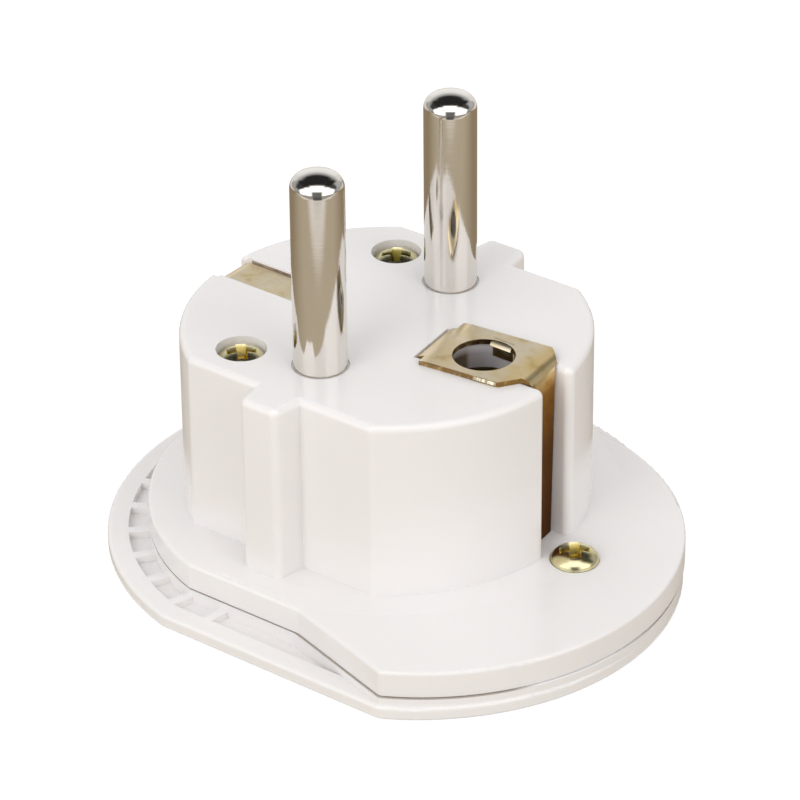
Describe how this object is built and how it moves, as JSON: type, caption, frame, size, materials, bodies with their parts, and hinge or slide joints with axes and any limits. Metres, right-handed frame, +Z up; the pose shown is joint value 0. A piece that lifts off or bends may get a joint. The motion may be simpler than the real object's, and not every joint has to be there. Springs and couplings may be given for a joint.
{
  "type": "travel adapter",
  "caption": "White moulded travel adapter: a round earthed plug with metal pins and brass side contacts on a flange with an ear, over a flat socket cover with holes for round and flat pins",
  "frame": {"origin": "on the plug's axis, midway between the two pins, on the flat socket face that it stands on", "axes": "+Z up along the pins, +X from the left pin to the right pin, -Y towards the ear and the earth-pin hole"},
  "size_m": [0.0505, 0.0559, 0.0408],
  "materials": {
    "white_plastic": "glossy moulded white",
    "plated_pin": "bright nickel plated",
    "sheet_brass": "bright rolled sheet",
    "zinc_screw": "yellow zinc plated"
  },
  "bodies": {
    "root": {"plug_body": "white_plastic", "socket_cover": "white_plastic", "left_pin": "plated_pin", "right_pin": "plated_pin", "left_contact": "sheet_brass", "right_contact": "sheet_brass", "earth_contact": "sheet_brass", "earth_clip_front": "sheet_brass", "earth_clip_rear": "sheet_brass", "earth_rivet_front": "sheet_brass", "earth_rivet_rear": "sheet_brass", "left_case_screw": "zinc_screw", "right_case_screw": "zinc_screw", "ear_screw": "zinc_screw"}
  },
  "joints": []
}
